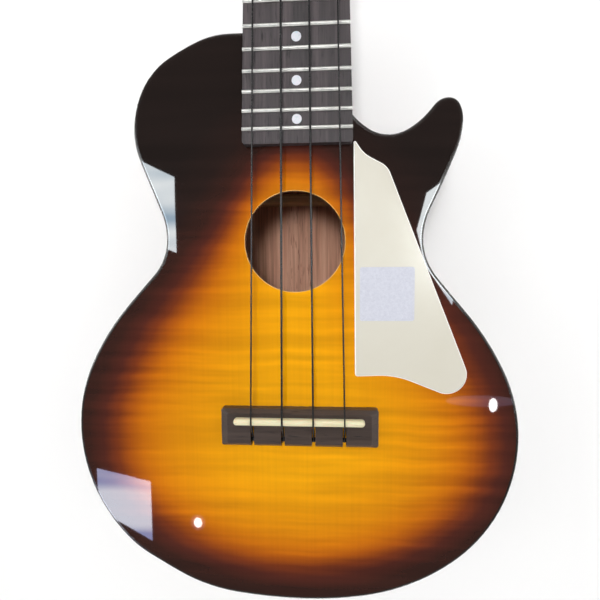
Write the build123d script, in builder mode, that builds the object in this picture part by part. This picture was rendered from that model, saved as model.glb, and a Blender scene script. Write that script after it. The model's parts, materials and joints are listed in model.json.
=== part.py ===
"""Concert ukulele with a single cutaway, lying on its flat back.

Frame: +Z up out of the soundboard, +Y from the bridge to the headstock, +X to the treble side.
The origin lies on the back face, under the point where the string centreline crosses the
theoretical end of the scale. All sizes are in millimetres.
"""

import os
from math import cos, hypot, pi, radians, sin, sqrt

from build123d import *

os.makedirs("parts", exist_ok=True)

# ---------------------------------------------------------------- driving dimensions
# scale and fretboard
scale_length = 380.0
fret_count = 19
join_fret = 14
fretboard_thickness = 4.5
fretboard_overhang = 6.3
fretboard_end_width = 48.1
fretboard_corner = 1.5
nut_width = 34.5
nut_thickness = 4.5
nut_height = 7.0
nut_round = 0.8
nut_slot_play = 0.16
nut_break_inset = 0.4
fret_crown_height = 1.0
fret_crown_width = 1.6
fret_tang_width = 0.6
fret_tang_depth = 1.8
marker_frets = (5, 7, 10, 12, 15, 17, 19)
marker_diameter = 4.2
marker_thickness = 1.2
side_marker_diameter = 2.0
side_marker_depth = 1.5

# body
body_width = 204.4
body_length = 260.9
body_depth = 60.0
top_thickness = 2.4
back_thickness = 2.4
rim_thickness = 2.2
binding_width = 1.4
binding_height = 5.5
lining_width = 4.0
lining_height = 9.0
body_edge_round = 0.9
soundhole_radius = 22.6
soundhole_x = -1.7
soundhole_gap = 19.4
corner_radius = 3.0

# bracing and blocks
brace_width = 6.0
brace_height = 8.0
fan_brace_width = 4.5
fan_brace_height = 5.0
fan_brace_length = 78.0
back_brace_height = 9.0
centre_strip_width = 15.0
centre_strip_thickness = 1.8
bridge_plate_length = 92.0
bridge_plate_width = 26.0
bridge_plate_thickness = 2.0
tail_block_width = 56.0
tail_block_thickness = 14.0
dowel_diameter = 8.0
dowel_length = 44.0
dowel_level_shares = (0.35, 0.70)
neck_block_length = 46.0
neck_block_width = 52.0
brace_hole_gap = 8.0
brace_chamfer = 1.5
fan_brace_gap = 3.0
fan_brace_spacing = 30.0
fan_brace_splay = 9.0
back_brace_shares = (0.25, 0.52, 0.80)
bridge_plate_corner = 3.0

# bridge, saddle and strings
bridge_width = 71.4
bridge_front = 3.0
bridge_back = 14.2
bridge_height = 6.6
bridge_bevel_rise = 2.4
bridge_bevel_run = 3.2
bridge_bevel_run_back = 1.6
bridge_corner = 1.0
saddle_y = -1.9
saddle_length = 58.8
saddle_thickness = 3.0
saddle_height = 9.7
saddle_seat = 3.0
saddle_crown = 1.4
slot_width = 1.6
slot_front_y = -4.5
knot_radius = 1.15
knot_bore_radius = 1.5
knot_headroom = 0.3
string_break_angle = 38.0
string_anchor_y = -11.4
string_diameters = (0.75, 0.95, 0.85, 0.70)
string_spread_saddle = 41.6
string_spread_nut = 27.8
string_offset_saddle = -0.35
string_height_nut = 0.6
string_bend_radius = 1.6
string_end_clearance = 0.35
string_rest_gap = 0.04

# pickguard
guard_thickness = 1.5
guard_side_gap = 0.35
guard_bevel = 0.5
guard_bridge_gap = 5.9
guard_edge_margin = 1.5
guard_top_gap = 2.6
label_size = 24.0
label_corner = 1.0
label_place = (39.3, 55.0)
label_thickness = 0.12

# neck and headstock
neck_depth_nut = 14.0
neck_depth_heel = 16.0
neck_side_land = 2.0
heel_length = 38.0
heel_foot = 14.0
heel_lift = 8.0
heel_foot_width = 26.0
heel_cap_thickness = 1.6
heel_shoulder = 6.0
head_tilt = 12.0
head_length = 126.0
head_width_low = 58.0
head_width_high = 64.0
head_flare_length = 24.0
head_thickness = 12.0
head_corner = 9.0
head_crown_rise = 5.0
overlay_thickness = 1.5

# Stations of the outline on the nominal body: x, distance behind the neck joint, heading in
# degrees, clockwise from the treble corner of the neck joint, round cutaway, horn, treble
# waist, lower bout, bass waist and bass shoulder. Two tangent arcs join each pair of stations.
nominal_width = 204.4
nominal_length = 260.9
nominal_treble_reach = 99.0
nominal_bass_reach = 105.4
outline_stations = (
    (21.0, -27.7, -90.0),
    (23.9, -35.7, -50.0),
    (40.0, -44.7, 0.0),
    (54.2, -38.1, 43.0),
    (65.0, -29.8, 0.0),
    (71.4, -39.8, -92.0),
    (63.4, -65.3, -114.0),
    (55.2, -89.8, -90.0),
    (73.0, -120.9, -49.0),
    (98.9, -181.3, -90.0),
    (87.0, -222.2, -123.0),
    (56.0, -249.3, -153.0),
    (0.0, -260.9, 180.0),
    (-60.0, -249.0, 150.0),
    (-84.5, -232.1, 133.0),
    (-105.5, -178.8, 90.0),
    (-80.5, -120.3, 48.5),
    (-60.4, -88.5, 90.0),
    (-66.9, -66.1, 112.0),
    (-74.0, -41.3, 90.0),
    (-57.2, -9.5, 31.0),
    (-30.0, 0.0, 0.0),
)

# corners of the pickguard on the nominal body and the radius that rounds each one
nominal_guard_left = 24.4
nominal_guard_bottom = 9.0
nominal_guard_top = 123.1
guard_corners = (
    (25.3, 17.6, 1.2),
    (24.4, 123.1, 0.6),
    (28.8, 116.2, 14.0),
    (39.2, 110.7, 9.0),
    (81.7, 3.2, 8.8),
    (43.3, 18.3, 36.0),
)

# tuning machines
tuner_stations = (38.0, 88.0)
post_x = 19.0
post_diameter = 6.0
post_groove_depth = 0.5
post_groove_margin = 1.2
post_top_round = 0.8
post_height = 14.0
post_hole_diameter = 1.6
running_clearance = 0.05
bushing_diameter = 9.0
bushing_flange_diameter = 11.0
bushing_flange_thickness = 1.2
bushing_depth = 6.0
bushing_round = 0.4
bore_clearance = 0.6
plate_length = 28.0
plate_width = 12.0
plate_thickness = 1.2
plate_screw_diameter = 2.2
plate_screw_head = 4.2
plate_screw_length = 9.0
plate_screw_head_height = 1.0
plate_screw_round = 0.6
plate_screw_inset = 3.0
gear_teeth = 14
gear_wall = 1.2
gear_tooth_depth = 1.2
gear_thickness = 2.4
gear_gap = 0.3
gear_overlap = 0.3
gear_screw_head_radius = 2.4
gear_screw_head_height = 1.4
gear_screw_round = 0.7
gear_screw_slot_width = 0.7
gear_screw_slot_depth = 0.6
gear_screw_radius = 1.1
gear_screw_length = 5.0
thread_turns = 3
thread_overlap = 0.25
worm_pitch_radius = 2.05
mesh_backlash = 0.30
mesh_root_gap = 0.2
worm_shaft_diameter = 2.4
shaft_tail = 0.6
ear_thickness = 1.2
ear_half_span = 4.6
ear_radius = 3.0
button_length = 17.0
button_width = 15.0
button_thickness = 8.0
button_gap = 3.2
button_grip_share = 0.6
button_round = 2.2
winding_turns = 4
winding_height = 7.5
winding_lay = 0.93

# ---------------------------------------------------------------- derived places
top_z = body_depth
fretboard_top_z = top_z + fretboard_thickness
fret_crown_z = fretboard_top_z + fret_crown_height


def fret_y(n):
    """Distance of fret n from the saddle end of the scale, by the twelfth-root rule."""
    return scale_length * 2 ** (-n / 12)


join_y = fret_y(join_fret)
fretboard_end_y = fret_y(fret_count) - fretboard_overhang
nut_back_y = scale_length + nut_thickness
soundhole_y = fretboard_end_y - soundhole_gap - soundhole_radius


def fretboard_width(y):
    """Fretboard width at a distance y along the strings."""
    share = (y - fretboard_end_y) / (scale_length - fretboard_end_y)
    return fretboard_end_width + (nut_width - fretboard_end_width) * share


def label_and_export(part, name):
    """Label a finished piece and write its STEP file."""
    part.label = name
    export_step(part, f"parts/{name}.step")


# ---------------------------------------------------------------- body outline


def scaled_station(x, y, heading):
    """Fit one outline station to the body's width and length."""
    along = body_width / nominal_width
    across = body_length / nominal_length
    direction = (cos(radians(heading)) * along, sin(radians(heading)) * across)
    size = hypot(*direction)
    return (x * along, join_y + y * across), (direction[0] / size, direction[1] / size)


def arc_joint(start, start_dir, end, end_dir):
    """Point where two tangent arcs between two stations meet."""
    vx, vy = end[0] - start[0], end[1] - start[1]
    tx, ty = start_dir[0] + end_dir[0], start_dir[1] + end_dir[1]
    turn = 2 * (1 - start_dir[0] * end_dir[0] - start_dir[1] * end_dir[1])
    along = vx * tx + vy * ty
    reach = (sqrt(along**2 + turn * (vx**2 + vy**2)) - along) / turn
    mid_x = (start[0] + end[0] + reach * (start_dir[0] - end_dir[0])) / 2
    mid_y = (start[1] + end[1] + reach * (start_dir[1] - end_dir[1])) / 2
    return mid_x, mid_y


with BuildSketch() as body_outline:
    with BuildLine():
        stations = [scaled_station(*station) for station in outline_stations]
        for (start, start_dir), (end, end_dir) in zip(stations, stations[1:]):
            joint = arc_joint(start, start_dir, end, end_dir)
            first = TangentArc(start, joint, tangent=start_dir)
            TangentArc(joint, end, tangent=first % 1)
        treble_edge = stations[0][0]
        bass_edge = stations[-1][0]
        corner = (treble_edge[0], join_y)
        FilletPolyline(bass_edge, corner, treble_edge, radius=corner_radius)
    make_face()


def inset_outline(distance):
    """Body outline moved inwards."""
    return offset(body_outline.sketch, amount=-distance, mode=Mode.PRIVATE)


plate_outline = inset_outline(binding_width)
rim_inner = inset_outline(rim_thickness)
lining_inner = inset_outline(rim_thickness + lining_width)

rim_bottom = back_thickness
rim_top = top_z - top_thickness
binding_bottom = top_z - binding_height

# ---------------------------------------------------------------- neck dowels
with BuildPart() as neck_dowels:
    with BuildSketch(Plane.XZ.offset(-join_y)):
        for share in dowel_level_shares:
            with Locations((0, share * body_depth)):
                Circle(dowel_diameter / 2)
    extrude(amount=dowel_length / 2, both=True)
label_and_export(neck_dowels.part, "neck_dowels")

# ---------------------------------------------------------------- plates, rim and binding
with BuildPart() as soundboard:
    with BuildSketch(Plane.XY.offset(rim_top)):
        add(plate_outline)
        with Locations((soundhole_x, soundhole_y)):
            Circle(soundhole_radius, mode=Mode.SUBTRACT)
    extrude(amount=top_thickness)
label_and_export(soundboard.part, "soundboard")

with BuildPart() as top_binding:
    with BuildSketch(Plane.XY.offset(binding_bottom)):
        add(body_outline.sketch)
        add(plate_outline, mode=Mode.SUBTRACT)
    extrude(amount=binding_height)
    outer_edges = top_binding.faces().sort_by(Axis.Z)[-1].outer_wire().edges()
    fillet(outer_edges, radius=body_edge_round)
label_and_export(top_binding.part, "top_binding")

with BuildPart() as side_rim:
    with BuildSketch(Plane.XY.offset(rim_bottom)):
        add(body_outline.sketch)
        add(rim_inner, mode=Mode.SUBTRACT)
    extrude(amount=binding_bottom - rim_bottom)
    with BuildSketch(Plane.XY.offset(binding_bottom)):
        add(plate_outline)
        add(rim_inner, mode=Mode.SUBTRACT)
    extrude(amount=rim_top - binding_bottom)
    add(neck_dowels.part, mode=Mode.SUBTRACT)
label_and_export(side_rim.part, "side_rim")

with BuildPart() as back_plate:
    with BuildSketch():
        add(body_outline.sketch)
    extrude(amount=back_thickness)
    fillet(back_plate.edges().group_by(Axis.Z)[0], radius=body_edge_round)
label_and_export(back_plate.part, "back_plate")

# ---------------------------------------------------------------- blocks and linings
body_middle_x = (nominal_treble_reach - nominal_bass_reach) / 2 * body_width / nominal_width
tail_y = join_y - body_length

with BuildPart() as neck_block:
    with BuildSketch(Plane.XY.offset(rim_bottom)):
        add(rim_inner)
        with Locations((0, join_y - neck_block_length / 2)):
            Rectangle(neck_block_width, neck_block_length, mode=Mode.INTERSECT)
    extrude(amount=rim_top - rim_bottom)
    add(neck_dowels.part, mode=Mode.SUBTRACT)
label_and_export(neck_block.part, "neck_block")

with BuildPart() as tail_block:
    with BuildSketch(Plane.XY.offset(rim_bottom)):
        add(rim_inner)
        with Locations((body_middle_x, tail_y + (tail_block_thickness + rim_thickness) / 2)):
            Rectangle(tail_block_width, tail_block_thickness + rim_thickness, mode=Mode.INTERSECT)
    extrude(amount=rim_top - rim_bottom)
label_and_export(tail_block.part, "tail_block")


def lining(bottom):
    """Glued strip round the inside of the rim, stopped at the two blocks and the dowels."""
    with BuildPart() as strip:
        with BuildSketch(Plane.XY.offset(bottom)):
            add(rim_inner)
            add(lining_inner, mode=Mode.SUBTRACT)
        extrude(amount=lining_height)
        add(neck_block.part, mode=Mode.SUBTRACT)
        add(neck_dowels.part, mode=Mode.SUBTRACT)
        add(tail_block.part, mode=Mode.SUBTRACT)
    return strip.part


label_and_export(lining(rim_top - lining_height), "top_lining")
label_and_export(lining(rim_bottom), "back_lining")

# ---------------------------------------------------------------- braces
def cross_brace(y, width, bottom, height):
    """Bar across the body at y, fitted between the linings."""
    with BuildSketch(Plane.XY.offset(bottom)) as bar:
        add(lining_inner)
        with Locations((body_middle_x, y)):
            Rectangle(body_width, width, mode=Mode.INTERSECT)
    extrude(bar.sketch, amount=height)


upper_brace_y = soundhole_y + soundhole_radius + brace_hole_gap
lower_brace_y = soundhole_y - soundhole_radius - brace_hole_gap
with BuildPart() as top_cross_braces:
    for brace_y in (upper_brace_y, lower_brace_y):
        cross_brace(brace_y, brace_width, rim_top - brace_height, brace_height)
    low_edges = top_cross_braces.edges().filter_by(Axis.X).group_by(Axis.Z)[0]
    chamfer(low_edges, length=brace_chamfer)
label_and_export(top_cross_braces.part, "top_cross_braces")

with BuildPart() as bridge_plate:
    with BuildSketch(Plane.XY.offset(rim_top - bridge_plate_thickness)):
        with Locations((0, (bridge_front - bridge_back) / 2)):
            RectangleRounded(bridge_plate_length, bridge_plate_width, bridge_plate_corner)
    extrude(amount=bridge_plate_thickness)
label_and_export(bridge_plate.part, "bridge_plate")

fan_brace_top = lower_brace_y - brace_width / 2 - fan_brace_gap
with BuildPart() as fan_braces:
    with BuildSketch(Plane.XY.offset(rim_top - fan_brace_height)):
        for place in (-1, 0, 1):
            with Locations(
                Location(
                    (place * fan_brace_spacing, fan_brace_top - fan_brace_length / 2),
                    place * fan_brace_splay,
                )
            ):
                Rectangle(fan_brace_width, fan_brace_length)
    extrude(amount=fan_brace_height)
    add(bridge_plate.part, mode=Mode.SUBTRACT)
label_and_export(fan_braces.part, "fan_braces")

with BuildPart() as back_braces:
    for share in back_brace_shares:
        cross_brace(join_y - share * body_length, brace_width, rim_bottom, back_brace_height)
    high_edges = back_braces.edges().filter_by(Axis.X).group_by(Axis.Z)[-1]
    chamfer(high_edges, length=brace_chamfer)
label_and_export(back_braces.part, "back_braces")

strip_start = tail_y + rim_thickness + tail_block_thickness
strip_end = join_y - neck_block_length
with BuildPart() as back_centre_strip:
    with BuildSketch(Plane.XY.offset(rim_bottom)):
        with Locations((body_middle_x, (strip_start + strip_end) / 2)):
            Rectangle(centre_strip_width, strip_end - strip_start)
    extrude(amount=centre_strip_thickness)
    add(back_braces.part, mode=Mode.SUBTRACT)
label_and_export(back_centre_strip.part, "back_centre_strip")

# ---------------------------------------------------------------- neck and headstock
tilt = radians(head_tilt)
head_normal = (0, sin(tilt), cos(tilt))
head_down = (0, cos(tilt), -sin(tilt))


def head_point(x, along, height):
    """Point on the tilted headstock: across, away from the nut, above its wooden face."""
    y = nut_back_y + along * head_down[1] + height * head_normal[1]
    z = top_z + along * head_down[2] + height * head_normal[2]
    return x, y, z


def head_plane(x=0.0, along=0.0, height=0.0):
    """Plane parallel to the headstock's face, its Y away from the nut."""
    return Plane(origin=head_point(x, along, height), x_dir=(1, 0, 0), z_dir=head_normal)


def cross_section(y, width, depth):
    """D-shaped neck section with its flat side up."""
    with BuildSketch(Plane.XZ.offset(-y)) as section:
        with BuildLine():
            Line((-width / 2, top_z), (width / 2, top_z))
            Line((width / 2, top_z), (width / 2, top_z - neck_side_land))
            EllipticalCenterArc(
                (0, top_z - neck_side_land), width / 2, depth - neck_side_land, 180, arc_size=180
            )
            Line((-width / 2, top_z - neck_side_land), (-width / 2, top_z))
        make_face()
    return section.sketch


def head_outline():
    """Plain paddle headstock, a little wider towards its gently crowned end."""
    low, high, shoulder = head_width_low / 2, head_width_high / 2, head_length - head_crown_rise
    with BuildSketch() as outline:
        with BuildLine():
            for side in (1, -1):
                Spline(
                    (side * nut_width / 2, 0),
                    (side * low, head_flare_length),
                    tangents=((0, 1), (side * 0.08, 1)),
                )
                Line((side * low, head_flare_length), (side * high, shoulder))
            ThreePointArc((high, shoulder), (0, head_length), (-high, shoulder))
            Line((-nut_width / 2, 0), (nut_width / 2, 0))
        make_face()
        crown_corners = outline.vertices().group_by(Axis.Y)[-1]
        fillet(crown_corners, radius=head_corner)
    return outline.sketch


screw_spacing = plate_length - 2 * plate_screw_inset
tuner_places = [(side * post_x, along) for side in (-1, 1) for along in tuner_stations]

join_width = fretboard_width(join_y)
with BuildPart() as heel_blank:
    with BuildSketch(Plane.YZ):
        with BuildLine():
            foot = Polyline(
                (join_y + heel_length, top_z - neck_depth_heel / 2),
                (join_y + heel_length, top_z),
                (join_y, top_z),
                (join_y, heel_lift),
                (join_y + heel_foot, heel_lift),
            )
            Spline(
                foot @ 1,
                (join_y + heel_length, top_z - neck_depth_heel / 2),
                tangents=((0.15, 1), (1, 0.1)),
            )
        make_face()
    extrude(amount=join_width / 2, both=True)
    with BuildSketch(Plane.XZ.offset(-join_y)):
        with BuildLine():
            Line((-join_width / 2, top_z), (join_width / 2, top_z))
            Line((-heel_foot_width / 2, heel_lift), (heel_foot_width / 2, heel_lift))
            for side in (1, -1):
                Line((side * join_width / 2, top_z), (side * join_width / 2, top_z - heel_shoulder))
                Spline(
                    (side * join_width / 2, top_z - heel_shoulder),
                    (side * heel_foot_width / 2, heel_lift),
                    tangents=((0, -1), (-side * 0.25, -1)),
                )
        make_face()
    extrude(amount=-heel_length, mode=Mode.INTERSECT)

with BuildPart() as neck:
    add(cross_section(join_y, join_width, neck_depth_heel))
    add(cross_section(scale_length, nut_width, neck_depth_nut))
    loft()
    extrude(cross_section(scale_length, nut_width, neck_depth_nut), amount=-nut_thickness)
    add(heel_blank.part)
    with BuildSketch(head_plane()):
        add(head_outline())
    extrude(amount=-head_thickness)
    for x, along in tuner_places:
        with BuildSketch(head_plane(x, along)):
            Circle(post_diameter / 2 + bore_clearance)
        extrude(amount=-head_thickness, mode=Mode.SUBTRACT)
        with BuildSketch(head_plane(x, along)):
            Circle(bushing_diameter / 2)
        extrude(amount=-(bushing_depth - overlay_thickness), mode=Mode.SUBTRACT)
        with BuildSketch(head_plane(x, along, -head_thickness)):
            with GridLocations(0, screw_spacing, 1, 2):
                Circle(plate_screw_diameter / 2)
        extrude(amount=plate_screw_length - plate_thickness, mode=Mode.SUBTRACT)
    add(neck_dowels.part, mode=Mode.SUBTRACT)
label_and_export(neck.part, "neck")

with BuildPart() as heel_cap:
    with BuildSketch(Plane.XY.offset(heel_lift - heel_cap_thickness)):
        with Locations((0, join_y + heel_foot / 2)):
            Rectangle(heel_foot_width, heel_foot)
    extrude(amount=heel_cap_thickness)
label_and_export(heel_cap.part, "heel_cap")

with BuildPart() as headstock_overlay:
    with BuildSketch(head_plane()):
        add(head_outline())
    extrude(amount=overlay_thickness)
    for x, along in tuner_places:
        with BuildSketch(head_plane(x, along)):
            Circle(bushing_diameter / 2)
        extrude(amount=overlay_thickness, mode=Mode.SUBTRACT)
label_and_export(headstock_overlay.part, "headstock_overlay")

# ---------------------------------------------------------------- fretboard, frets and nut
fret_places = [fret_y(n) for n in range(1, fret_count + 1)]


def between_frets(n):
    """Middle of the space in front of fret n, where its marker sits."""
    return (fret_y(n) + fret_y(n - 1)) / 2


marker_places = [between_frets(n) for n in marker_frets]


def fretboard_outline():
    """Tapered fretboard with its two corners over the body rounded."""
    half_end, half_nut = fretboard_end_width / 2, nut_width / 2
    with BuildSketch(Plane.XY.offset(top_z)) as board:
        with BuildLine():
            Polyline(
                (-half_end, fretboard_end_y),
                (half_end, fretboard_end_y),
                (half_nut, scale_length),
                (-half_nut, scale_length),
                close=True,
            )
        make_face()
        fillet(board.vertices().group_by(Axis.Y)[0], radius=fretboard_corner)
    return board.sketch


with BuildPart() as frets:
    for y in fret_places:
        length = fretboard_width(y)
        with BuildSketch(Plane.YZ) as crown:
            with BuildLine():
                ThreePointArc(
                    (y - fret_crown_width / 2, fretboard_top_z),
                    (y, fret_crown_z),
                    (y + fret_crown_width / 2, fretboard_top_z),
                )
                Line(
                    (y + fret_crown_width / 2, fretboard_top_z),
                    (y - fret_crown_width / 2, fretboard_top_z),
                )
            make_face()
            with Locations((y, fretboard_top_z - fret_tang_depth / 2)):
                Rectangle(fret_tang_width, fret_tang_depth)
        extrude(amount=length / 2, both=True)
label_and_export(frets.part, "frets")

with BuildPart() as fret_markers:
    for y in marker_places:
        with BuildSketch(Plane.XY.offset(fretboard_top_z)):
            with Locations((0, y)):
                Circle(marker_diameter / 2)
        extrude(amount=-marker_thickness)
label_and_export(fret_markers.part, "fret_markers")

with BuildPart() as side_markers:
    for y in marker_places:
        edge = fretboard_width(y) / 2
        with BuildSketch(Plane.YZ.offset(-edge)):
            with Locations((y, top_z + fretboard_thickness / 2)):
                Circle(side_marker_diameter / 2)
        extrude(amount=side_marker_depth)
    extrude(fretboard_outline(), amount=fretboard_thickness, mode=Mode.INTERSECT)
label_and_export(side_markers.part, "side_markers")

with BuildPart() as fretboard:
    extrude(fretboard_outline(), amount=fretboard_thickness)
    add(frets.part, mode=Mode.SUBTRACT)
    add(fret_markers.part, mode=Mode.SUBTRACT)
    add(side_markers.part, mode=Mode.SUBTRACT)
label_and_export(fretboard.part, "fretboard")

# ---------------------------------------------------------------- string geometry
string_count = len(string_diameters)
saddle_top_z = top_z + saddle_height
post_groove_radius = post_diameter / 2 - post_groove_depth


def string_share(i):
    """Place of string i across the neck, from -0.5 at the bass side to 0.5."""
    return i / (string_count - 1) - 0.5


def string_post(i):
    """Tuner of string i: outer strings on the near posts, inner strings on the far ones."""
    side = -1 if string_share(i) < 0 else 1
    far = 0 if i in (0, string_count - 1) else 1
    return side, tuner_stations[far]


def string_route(i):
    """Corners of string i: anchor, saddle, nut and the approach to its post."""
    radius = string_diameters[i] / 2
    saddle_x = string_share(i) * string_spread_saddle + string_offset_saddle
    nut_x = string_share(i) * string_spread_nut
    half_break = radians(string_break_angle / 2)
    wrap_radius = saddle_crown + radius + string_rest_gap
    saddle_point = Vector(
        saddle_x,
        saddle_y - wrap_radius * sin(half_break) / cos(half_break),
        saddle_top_z + radius + string_rest_gap,
    )
    anchor_z = saddle_point.Z - (saddle_point.Y - string_anchor_y) * sin(2 * half_break) / cos(
        2 * half_break
    )
    anchor = Vector(saddle_x, string_anchor_y, anchor_z)
    nut_point = Vector(nut_x, nut_back_y + nut_break_inset, fret_crown_z + string_height_nut + radius)
    side, along = string_post(i)
    touch_x = side * (post_x - post_groove_radius - radius)
    post_point = Vector(*head_point(touch_x, along, winding_height))
    outer = post_groove_radius + 2 * radius
    stop = sqrt((outer + string_end_clearance) ** 2 - post_groove_radius**2)
    end = post_point - (post_point - nut_point).normalized() * stop
    return [anchor, saddle_point, nut_point, end], radius


def string_solid(i):
    """Nylon string of round section, with its knot below the bridge."""
    corners, radius = string_route(i)
    with BuildPart() as string:
        with BuildLine() as path:
            FilletPolyline(*corners, radius=(saddle_crown + radius + string_rest_gap, string_bend_radius))
        start_dir = (corners[1] - corners[0]).normalized()
        with BuildSketch(Plane(origin=corners[0], z_dir=start_dir)) as section:
            Circle(radius)
        sweep(section.sketch, path=path.line)
        with Locations(corners[0]):
            Sphere(knot_radius)
    return string.part


for i in range(string_count):
    label_and_export(string_solid(i), f"string_{i + 1}")

with BuildPart() as nut:
    with BuildSketch(Plane.XY.offset(top_z)):
        with Locations((0, scale_length + nut_thickness / 2)):
            Rectangle(nut_width, nut_thickness)
    extrude(amount=nut_height)
    fillet(nut.edges().group_by(Axis.Z)[-1], radius=nut_round)
    for i in range(string_count):
        corners, radius = string_route(i)
        floor_z = corners[2].Z - radius
        with BuildSketch(Plane.XZ.offset(-scale_length)) as slot:
            with Locations((corners[2].X, floor_z + nut_height / 2)):
                Rectangle(2 * radius + nut_slot_play, nut_height)
        extrude(slot.sketch, amount=-nut_thickness, mode=Mode.SUBTRACT)
label_and_export(nut.part, "nut")

# ---------------------------------------------------------------- bridge and saddle
bridge_middle_y = (bridge_front - bridge_back) / 2
bridge_length_y = bridge_front + bridge_back
bridge_side_rise = bridge_height - bridge_bevel_rise

with BuildPart() as saddle:
    with BuildSketch(Plane.XY.offset(top_z + bridge_height - saddle_seat)):
        with Locations((0, saddle_y)):
            SlotOverall(saddle_length, saddle_thickness)
    extrude(amount=saddle_height - bridge_height + saddle_seat)
    fillet(saddle.edges().group_by(Axis.Z)[-1], radius=saddle_crown)
label_and_export(saddle.part, "saddle")

with BuildPart() as bridge:
    with BuildSketch(Plane.XY.offset(top_z)):
        with Locations((0, bridge_middle_y)):
            RectangleRounded(bridge_width, bridge_length_y, bridge_corner)
    extrude(amount=bridge_side_rise)
    with BuildSketch(Plane.XY.offset(top_z + bridge_side_rise)):
        with Locations((0, bridge_middle_y)):
            RectangleRounded(bridge_width, bridge_length_y, bridge_corner)
    with BuildSketch(Plane.XY.offset(top_z + bridge_height)):
        with Locations((0, bridge_middle_y)):
            RectangleRounded(
                bridge_width - 2 * bridge_bevel_run,
                bridge_length_y - 2 * bridge_bevel_run_back,
                bridge_corner,
            )
    loft()
    with BuildSketch(Plane.XY.offset(top_z + bridge_height)):
        with Locations((0, saddle_y)):
            SlotOverall(saddle_length, saddle_thickness)
    extrude(amount=-saddle_seat, mode=Mode.SUBTRACT)
    for i in range(string_count):
        corners, radius = string_route(i)
        x = corners[0].X
        slot_length = bridge_back + slot_front_y
        with BuildSketch(Plane.XY.offset(top_z)) as slot:
            with Locations((x, (slot_front_y - bridge_back) / 2)):
                Rectangle(slot_width, slot_length)
        extrude(slot.sketch, amount=bridge_height, mode=Mode.SUBTRACT)
        with BuildSketch(Plane.XY.offset(top_z)) as bore:
            with Locations((x, string_anchor_y)):
                Circle(knot_bore_radius)
        extrude(bore.sketch, amount=corners[0].Z + knot_radius + knot_headroom - top_z, mode=Mode.SUBTRACT)
label_and_export(bridge.part, "bridge")

# ---------------------------------------------------------------- pickguard and blank label
guard_left = fretboard_end_width / 2 + guard_side_gap
guard_bottom = bridge_front + guard_bridge_gap
guard_top = fretboard_end_y + guard_top_gap


def guard_point(x, y):
    """Fit one pickguard corner between the bridge and the fretboard's end."""
    stretch = (guard_top - guard_bottom) / (nominal_guard_top - nominal_guard_bottom)
    across = body_width / nominal_width
    return (
        guard_left + (x - nominal_guard_left) * across,
        guard_bottom + (y - nominal_guard_bottom) * stretch,
    )


with BuildPart() as pickguard:
    with BuildSketch(Plane.XY.offset(top_z)):
        with BuildLine():
            FilletPolyline(
                *[guard_point(x, y) for x, y, _ in guard_corners],
                radius=[radius for _, _, radius in guard_corners],
                close=True,
            )
        make_face()
        add(inset_outline(guard_edge_margin), mode=Mode.INTERSECT)
    extrude(amount=guard_thickness)
    chamfer(pickguard.edges().group_by(Axis.Z)[-1], length=guard_bevel)
label_and_export(pickguard.part, "pickguard")

with BuildPart() as blank_label:
    with BuildSketch(Plane.XY.offset(top_z + guard_thickness)):
        with Locations(guard_point(*label_place)):
            RectangleRounded(label_size, label_size, label_corner)
    extrude(amount=label_thickness)
label_and_export(blank_label.part, "blank_label")

# ---------------------------------------------------------------- tuning machines
# Each machine is drawn in its own frame: origin on the post's axis at the headstock's wooden
# face, X across the headstock, Y away from the nut, Z out of the face.
back_face = -head_thickness
plate_bottom = back_face - plate_thickness
gear_pitch_radius = post_diameter / 2 + gear_wall
worm_y = gear_pitch_radius + worm_pitch_radius
worm_outer = worm_pitch_radius + gear_tooth_depth / 2
worm_z = plate_bottom - gear_gap - worm_outer
gear_bottom = worm_z - gear_thickness / 2
gear_outer = gear_pitch_radius + gear_tooth_depth / 2
gear_root = gear_pitch_radius - gear_tooth_depth / 2 - mesh_root_gap
worm_root = worm_pitch_radius - gear_tooth_depth / 2 - mesh_root_gap
worm_pitch = 2 * pi * gear_pitch_radius / gear_teeth
tooth_width = worm_pitch / 2 - mesh_backlash
post_radius = post_diameter / 2
button_start = head_width_high / 2 + button_gap - post_x
shaft_end = button_start + button_grip_share * button_length
ear_inner = ear_half_span - ear_thickness / 2
ear_outer = ear_half_span + ear_thickness / 2


def tuner_plate():
    """Base plate with two ears bent down to carry the worm."""
    with BuildPart() as plate:
        with BuildSketch(Plane.XY.offset(plate_bottom)):
            SlotOverall(plate_length, plate_width, rotation=90)
            with Locations((0, worm_y)):
                Rectangle(plate_width, 2 * ear_radius)
            Circle(post_radius + running_clearance, mode=Mode.SUBTRACT)
            with GridLocations(0, screw_spacing, 1, 2):
                Circle(plate_screw_diameter / 2, mode=Mode.SUBTRACT)
        extrude(amount=plate_thickness)
        for side in (-1, 1):
            with BuildSketch(Plane.YZ.offset(side * ear_half_span)) as ear:
                with Locations((worm_y, worm_z)):
                    Circle(ear_radius)
                with Locations((worm_y, (worm_z + plate_bottom) / 2)):
                    Rectangle(2 * ear_radius, plate_bottom - worm_z)
                with Locations((worm_y, worm_z)):
                    Circle(worm_shaft_diameter / 2 + running_clearance, mode=Mode.SUBTRACT)
            extrude(ear.sketch, amount=ear_thickness / 2, both=True)
    return plate.part


def plate_screws():
    """Two wood screws up through the base plate."""
    with BuildPart() as screws:
        with BuildSketch(Plane.XY.offset(plate_bottom)):
            with GridLocations(0, screw_spacing, 1, 2):
                Circle(plate_screw_diameter / 2)
        extrude(amount=plate_screw_length)
        with BuildSketch(Plane.XY.offset(plate_bottom)):
            with GridLocations(0, screw_spacing, 1, 2):
                Circle(plate_screw_head / 2)
        extrude(amount=-plate_screw_head_height)
        fillet(screws.edges().group_by(Axis.Z)[0], radius=plate_screw_round)
    return screws.part


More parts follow.
